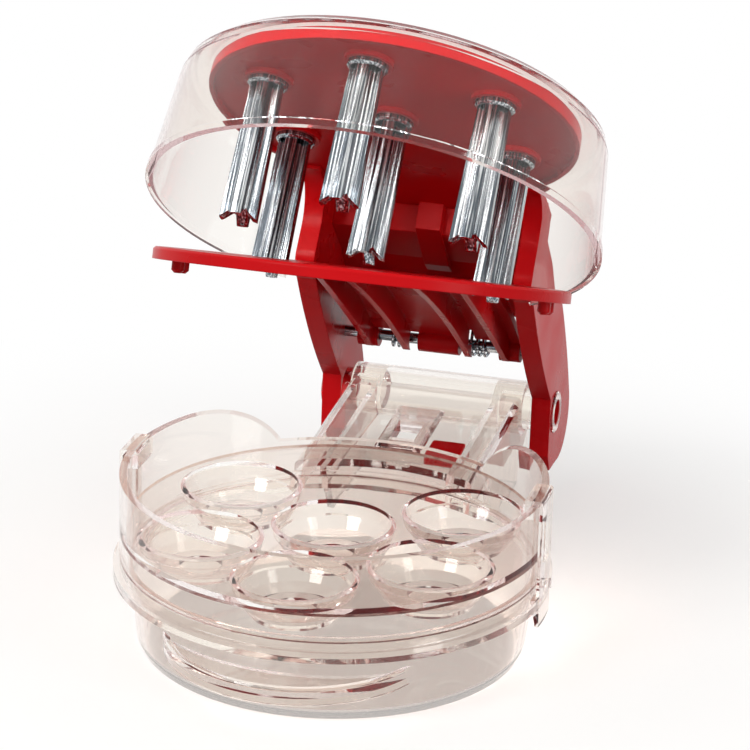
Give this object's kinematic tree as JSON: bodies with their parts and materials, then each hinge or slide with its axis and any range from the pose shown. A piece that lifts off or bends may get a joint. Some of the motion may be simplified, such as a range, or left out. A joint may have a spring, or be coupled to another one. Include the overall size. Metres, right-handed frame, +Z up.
{
  "type": "cherry pitter",
  "caption": "Hand lever cherry pitter: clear round cup tray over a pit container, with a hinged red lever of rods, a stripper plate and a clear splash cap.",
  "frame": {"origin": "on the table under the middle of the cups, at the centre of the pit container's underside", "axes": "+Z up, +Y back towards the hinge, +X to the right seen from the finger lip"},
  "size_m": [0.122, 0.1986, 0.1662],
  "materials": {
    "clear_plastic": "gloss, see-through, warm tint",
    "red_plastic": "gloss",
    "stainless_steel": "polished"
  },
  "bodies": {
    "base": {"base_ring": "clear_plastic", "cherry_tray": "clear_plastic", "hinge_housing": "clear_plastic", "window_frame": "clear_plastic", "stop_block": "red_plastic", "side_clip_right": "clear_plastic", "side_clip_left": "clear_plastic", "hinge_stud_right": "clear_plastic", "hinge_stud_left": "clear_plastic"},
    "pot": {"pit_container": "clear_plastic"},
    "lever": {"plunger_disc": "red_plastic", "back_web": "red_plastic", "splash_cap": "clear_plastic", "plate_pin": "stainless_steel", "lever_cheek_right": "red_plastic", "lever_cheek_left": "red_plastic", "torsion_spring_right": "stainless_steel", "torsion_spring_left": "stainless_steel", "pitting_rod_center": "stainless_steel", "rod_collar_center": "stainless_steel", "pitting_rod_front": "stainless_steel", "rod_collar_front": "stainless_steel", "pitting_rod_front_right": "stainless_steel", "rod_collar_front_right": "stainless_steel", "pitting_rod_back_right": "stainless_steel", "rod_collar_back_right": "stainless_steel", "pitting_rod_back_left": "stainless_steel", "rod_collar_back_left": "stainless_steel", "pitting_rod_front_left": "stainless_steel", "rod_collar_front_left": "stainless_steel"},
    "stripper": {"stripper_plate": "red_plastic", "stripper_tongue": "red_plastic", "plate_peg_right": "red_plastic", "plate_peg_left": "red_plastic"}
  },
  "joints": [
    {"name": "lever_hinge", "type": "hinge", "parent": "base", "child": "lever", "pos_m": [0, 0.114, 0.0255], "axis": [1, 0, 0], "range_deg": [0, 40.5]},
    {"name": "stripper_hinge", "type": "hinge", "parent": "lever", "child": "stripper", "pos_m": [0, 0.11147, 0.0441], "axis": [-1, 0, 0], "range_deg": [0, 21]},
    {"name": "container_slide", "type": "slide", "parent": "base", "child": "pot", "axis": [0, 0, -1], "range_m": [0, 0.025]}
  ],
  "couplings": [
    {"joint": "stripper_hinge", "follows": "lever_hinge", "ratio": 0.51852}
  ]
}
